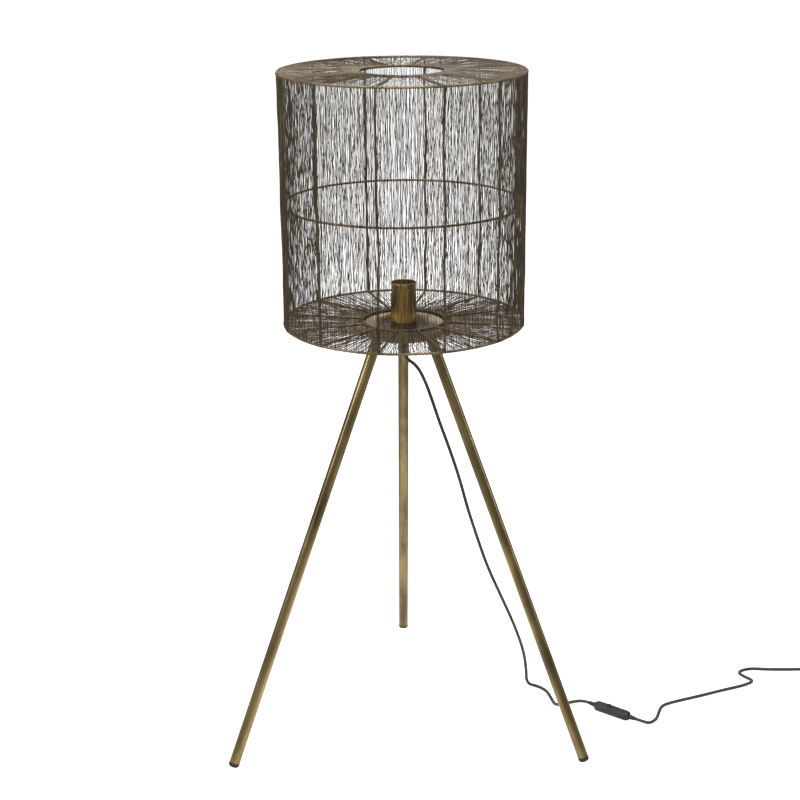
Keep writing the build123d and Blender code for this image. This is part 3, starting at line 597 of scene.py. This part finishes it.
def wander(share, count, waves, amplitude):
    """Smooth random lines: one row for each wire, a sum of a few sines along the share."""
    line = np.zeros((count, len(share)))
    for low, high, weight in waves:
        cycles = draw.uniform(low, high, (count, 1))
        start = draw.uniform(0, 2 * np.pi, (count, 1))
        size = draw.normal(0, weight * amplitude, (count, 1))
        line += size * np.sin(2 * np.pi * cycles * share + start)
    return line


def round_ring(radius, level, start, end, steps):
    """(radius, level) points of a wire that goes round a frame ring, angles in degrees."""
    turns = np.radians(np.linspace(start, end, steps))
    return radius + hook_radius * np.cos(turns), level + hook_radius * np.sin(turns)


def fine_wire_paths(bay):
    """The fine wires of one bay, in two groups that differ in length.

    They run from the top inner ring out, down, and in again to the dish; every second one
    starts at the top outer ring.
    """
    count = wires_per_bay
    places = (np.arange(count) + 0.5) / count
    angles = shade_turn + (bay + places) * bay_angle

    parts = [round_ring(inner_radius, top_level, -60, -250, 6)]
    share = np.linspace(0, 1, top_steps + 2)[1:-1]
    parts.append((inner_radius + share * (outer_radius - inner_radius),
                  np.full(top_steps, top_level + hook_radius)))
    parts.append(round_ring(outer_radius, top_level, 90, 0, 5))
    share = np.linspace(0, 1, wall_steps + 2)[1:-1]
    parts.append((np.full(wall_steps, outer_radius + hook_radius),
                  top_level + share * (bottom_level - top_level)))
    parts.append(round_ring(outer_radius, bottom_level, 0, -90, 5))
    share = np.linspace(0, 1, bottom_steps + 2)[1:-1]
    run_in = inner_radius + 2 * hook_radius
    parts.append((outer_radius + share * (run_in - outer_radius),
                  np.full(bottom_steps, bottom_level - hook_radius)))
    parts.append(round_ring(inner_radius, bottom_level, -30, 185, 7))

    lengths = [len(part[0]) for part in parts]
    radius = np.tile(np.concatenate([part[0] for part in parts]), (count, 1))
    level = np.tile(np.concatenate([part[1] for part in parts]), (count, 1))
    ends = np.cumsum(lengths)
    top_run = slice(lengths[0], ends[1])
    wall = slice(ends[1], ends[4])
    bottom_run = slice(ends[4], ends[5])

    # Sideways wander: on the wall, and growing outwards on the two flat faces
    aside = np.zeros_like(radius)
    along = np.linspace(0, 1, wall.stop - wall.start)
    aside[:, wall] = wander(along, count, [(0.6, 2.0, 0.9), (3, 7, 0.7), (8, 15, 0.6)], wall_wander)
    for run, other in ((top_run, wall.start), (bottom_run, wall.stop - 1)):
        steps = run.stop - run.start
        outward = np.linspace(0, 1, steps) if run is top_run else np.linspace(1, 0, steps)
        reach = top_wander if run is top_run else bottom_wander
        line = wander(outward, count, [(0.4, 1.2, 0.9), (1.5, 3.5, 0.6)], reach)
        if run is top_run:
            window = np.cos(np.pi / 2 * outward) ** 0.5      # loose at the inner ring too
        else:
            window = np.sin(np.pi * outward) ** 0.7
        aside[:, run] = line * window + aside[:, other:other + 1] * outward ** 2
    bend = slice(wall.stop, bottom_run.start)
    aside[:, bend] = aside[:, wall.stop - 1:wall.stop]
    aside[:, :top_run.start] = aside[:, top_run.start:top_run.start + 1]

    # Between two stiles the wires draw in a little, and each stands out by its own amount
    slack = np.sin(np.pi * places)[:, None] ** 0.6
    held = np.exp(-((along - mid_share) / middle_hold) ** 2)
    bow = (np.sin(np.pi * along) ** 0.4 * (1 - 0.4 * held))[None, :]
    radius[:, wall] -= wall_draw_in * slack * bow
    radius[:, wall] += np.abs(wander(along, count, [(0.5, 2.5, 1.0), (4, 9, 0.5)], wall_puff)) * bow

    # The top rises in places, the bottom sags, and the end hooks differ a little
    waves = np.sin(places * 2 * np.pi * 2 + bay) + np.sin(places * 2 * np.pi * 5 + 2 * bay) * 0.6
    lift = ripple * waves
    rise = np.sin(np.pi * np.linspace(0, 1, top_run.stop - top_run.start))[None, :]
    level[:, top_run] += np.maximum(lift, 0)[:, None] * rise + draw.uniform(0, top_lift, (count, 1))
    sag = np.sin(np.pi * np.linspace(0, 1, bottom_run.stop - bottom_run.start))[None, :]
    level[:, bottom_run] -= sag * draw.uniform(0, bottom_sag, (count, 1))
    hooks = draw.uniform(-hook_slack, hook_slack, (count, 1))
    radius[:, :lengths[0]] += hooks
    radius[:, ends[5]:] += hooks

    def laid(turns, aside, radius, level):
        turn = turns[:, None] + aside / radius
        return np.stack([axis.x + radius * np.cos(turn), axis.y + radius * np.sin(turn), level], axis=2)

    # Every second wire starts with a hook round the top outer ring; the others cross the top
    crossing, hooked = slice(0, None, 2), slice(1, None, 2)
    hook = round_ring(outer_radius, top_level, 235, 108, 7)
    rows = len(angles[hooked])
    start = aside[hooked, wall.start:wall.start + 1]
    return [
        laid(angles[crossing], aside[crossing], radius[crossing], level[crossing]),
        laid(angles[hooked],
             np.hstack([np.repeat(start, len(hook[0]), axis=1), aside[hooked, wall.start:]]),
             np.hstack([np.tile(hook[0], (rows, 1)), radius[hooked, wall.start:]]),
             np.hstack([np.tile(hook[1], (rows, 1)), level[hooked, wall.start:]]))]


for bay in range(bay_count):
    points, faces = [], []
    for paths in fine_wire_paths(bay):
        more_points, more_faces = tubes(paths, fine_radius, wire_sides)
        faces += [tuple(corner + len(points) for corner in face) for face in more_faces]
        points += more_points.tolist()
    piece = mesh_object(f"shade_fine_wires_{bay + 1:02d}", points, faces, "fine_wire")
    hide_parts("shade_wall_wires", "shade_top_wires", "shade_bottom_wires")


def make_stiles():
    """Hand-bent uprights: welded at both ends and touching the middle ring, uneven between."""
    share = np.linspace(0, 1, stile_points)
    fixed = np.sin(np.pi * share) ** 0.35
    aside = wander(share, bay_count, [(0.8, 1.6, 0.9), (2, 4, 0.6), (5, 8, 0.3)], stile_wander) * fixed
    level = bottom_level + share * (top_level - bottom_level)
    for k in range(bay_count):
        turn = shade_turn + k * bay_angle + aside[k] / outer_radius
        x, y = axis.x + outer_radius * np.cos(turn), axis.y + outer_radius * np.sin(turn)
        path = np.stack([x, y, level], axis=1)
        points, faces = tubes(path[None], frame_radius, stile_sides)
        piece = mesh_object(f"shade_stile_{k + 1:02d}", points, faces, "frame_wire")
        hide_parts("shade_stiles")


make_stiles()


def make_weld_beads():
    """Small flattened beads where stiles and spokes meet the rings."""
    rows, columns = 7, 10
    joints = [(outer_radius, top_level), (outer_radius, bottom_level), (inner_radius, top_level),
              (inner_radius, bottom_level), ((mid_radius + outer_radius) / 2, mid_level)]
    points, faces = [], []
    for k in range(bay_count):
        turn = shade_turn + k * bay_angle
        for radius, level in joints:
            size = weld_bead * draw.uniform(0.95, 1.12, 3)
            base = len(points)
            x, y = axis.x + radius * math.cos(turn), axis.y + radius * math.sin(turn)
            centre = np.array((x, y, level))
            for row in range(1, rows):
                tilt = math.pi * row / rows
                for column in range(columns):
                    spin = 2 * math.pi * column / columns
                    across = math.sin(tilt)
                    spot = (across * math.cos(spin), across * math.sin(spin), math.cos(tilt))
                    points.append(centre + size * spot)
            top, bottom = len(points), len(points) + 1
            points += [centre + size * (0, 0, 1), centre - size * (0, 0, 1)]
            last = top - columns
            for column in range(columns):
                right = (column + 1) % columns
                faces.append((top, base + column, base + right))
                faces.append((bottom, last + right, last + column))
                for row in range(rows - 2):
                    low, high = base + row * columns, base + (row + 1) * columns
                    faces.append((low + column, high + column, high + right, low + right))
    mesh_object("shade_weld_beads", points, faces, "frame_wire")


make_weld_beads()

# --------------------------------------------------------- dish, sleeve and tie


def make_dish():
    """The plate and its skirt: a spun dish with soft edges, the hole for the nipple in its middle."""
    brim = (dish_high.x - dish_low.x) / 2
    skirt = brim - brim_width
    inside = skirt - dish_wall
    under = dish_high.z - dish_wall
    profile = [
        (nipple_hole, dish_high.z), (brim, dish_high.z), (brim, under), (skirt, under),
        (skirt, dish_low.z), (inside, dish_low.z), (inside, under), (nipple_hole, under)]
    radii = [0, 0.0006, 0.0006, 0.0012, 0.0005, 0.0005, 0.0003, 0]
    piece = lathe("dish", rounded(profile, radii)[::-1], "antique_brass", 160)
    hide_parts("base_dish")


def make_sleeve():
    """The lampholder's brass sleeve, with its top edge turned over in a small bead."""
    outside = (cup_high.x - cup_low.x) / 2
    foot = [(outside - inwards, cup_low.z + up) for inwards, up in sleeve_foot_edge]
    edge = cup_high.z - rim_bead
    turns = [math.radians(a) for a in range(-60, 241, 30)]
    middle = outside - sleeve_wall / 2
    rim = [(middle + rim_bead * math.cos(a), edge + rim_bead * math.sin(a)) for a in turns]
    inner_level = cup_low.z + sleeve_floor
    profile = [(nipple_hole, cup_low.z)] + foot + rim
    profile += [(outside - sleeve_wall, inner_level), (nipple_hole, inner_level)]
    piece = lathe("lampholder_sleeve", profile, "antique_brass", 96)
    # painted light: the sleeve takes the lighter copy of the antique brass, for the light it catches
    finish = brass_material("brass_sleeve_painted_lit", upright_turn, sleeve_painted_lit_tones, 0.02, (0.16, 0.30))
    piece.data.materials[0] = finish
    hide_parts("lampholder_cup")


make_dish()
make_sleeve()


def make_tie():
    """A closed flat strap round the bundle of turns, with bevelled edges."""
    middle = (tie_low + tie_high) / 2
    reach = (tie_high - tie_low) / 2
    half_width = reach.x
    reach_y = reach.y - tie_thickness / 2
    reach_z = reach.z - tie_thickness / 2
    loop = []
    for sy, sz, start in ((1, 1, 0), (-1, 1, 90), (-1, -1, 180), (1, -1, 270)):
        for step in range(7):
            turn = math.radians(start + step * 15)
            loop.append((sy * (reach_y - tie_corner) + tie_corner * math.cos(turn),
                         sz * (reach_z - tie_corner) + tie_corner * math.sin(turn)))
    outline = []
    for i, (y, z) in enumerate(loop):
        ahead, behind = loop[(i + 1) % len(loop)], loop[i - 1]
        out = Vector((ahead[1] - behind[1], behind[0] - ahead[0])).normalized()
        outline.append(((y, z), out))
    inner, face = half_width - tie_bevel, tie_thickness / 2
    section = [(-half_width, 0), (-inner, face), (inner, face),
               (half_width, 0), (inner, -face), (-inner, -face)]
    points, faces = [], []
    for (y, z), out in outline:
        for across, up in section:
            points.append((middle.x + across, middle.y + y + out.x * up, middle.z + z + out.y * up))
    count, size = len(outline), len(section)
    for i in range(count):
        j = (i + 1) % count
        for k in range(size):
            m = (k + 1) % size
            faces.append((i * size + k, i * size + m, j * size + m, j * size + k))
    piece = mesh_object("coil_tie", points, faces, "tie_fabric")
    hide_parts("cord_tie")
    return piece


tie = make_tie()

# --------------------------------------------------- finishes of the CAD pieces


def finish_cad_pieces():
    """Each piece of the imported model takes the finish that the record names."""
    for part in frame["record"]["subparts"]:
        piece = frame["nodes"][part["node"]]
        piece.data.materials.clear()
        piece.data.materials.append(leg_parts.get(part["node"], materials[part["material_slot"]]))


finish_cad_pieces()

# ------------------------------------------------------------- floor and light


def make_floor():
    mesh = bpy.data.meshes.new("floor")
    sides = ((-1, -1), (1, -1), (1, 1), (-1, 1))
    corners = [(floor_reach * x, floor_reach * y, floor_drop) for x, y in sides]
    mesh.from_pydata(corners, [], [(0, 1, 2, 3)])
    floor = bpy.data.objects.new("floor", mesh)
    bpy.context.scene.collection.objects.link(floor)
    mesh.materials.append(floor_material())


def make_light(name, place, target, size, watts):
    """A white panel of light of a given width and height."""
    data = bpy.data.lights.new(name, "AREA")
    data.shape = "RECTANGLE"
    data.size, data.size_y = size
    data.energy = watts
    lamp = bpy.data.objects.new(name, data)
    bpy.context.scene.collection.objects.link(lamp)
    lamp.location = place
    lamp.rotation_euler = (Vector(target) - Vector(place)).to_track_quat("-Z", "Y").to_euler()


def make_world():
    """White to the eye, a softer grey as a light."""
    world = bpy.data.worlds.new("world")
    bpy.context.scene.world = world
    world.use_nodes = True
    tree = world.node_tree
    backdrop = tree.nodes["Background"]
    seen = add_node(tree, "ShaderNodeLightPath").outputs["Is Camera Ray"]
    tree.links.new(remap(tree, seen, world_light, world_seen), backdrop.inputs["Strength"])
    backdrop.inputs["Color"].default_value = (1, 1, 1, 1)


make_floor()
make_world()
make_light("key", (-3.0, -1.6, 2.4), light_target, (1.2, 2.2), 36)
make_light("front", (0.0, -3.6, 2.35), light_target, (2.2, 1.4), 18)
make_light("right", (3.0, -0.4, 1.6), light_target, (0.5, 2.0), 9)
make_light("back", (0.0, 3.4, 2.2), light_target, (1.0, 1.0), 8)
make_light("overhead", (0.0, 0.1, 4.0), (0.0, 0.0, 0.0), (3.2, 3.2), 130)
bpy.context.scene.view_settings.view_transform = "Standard"
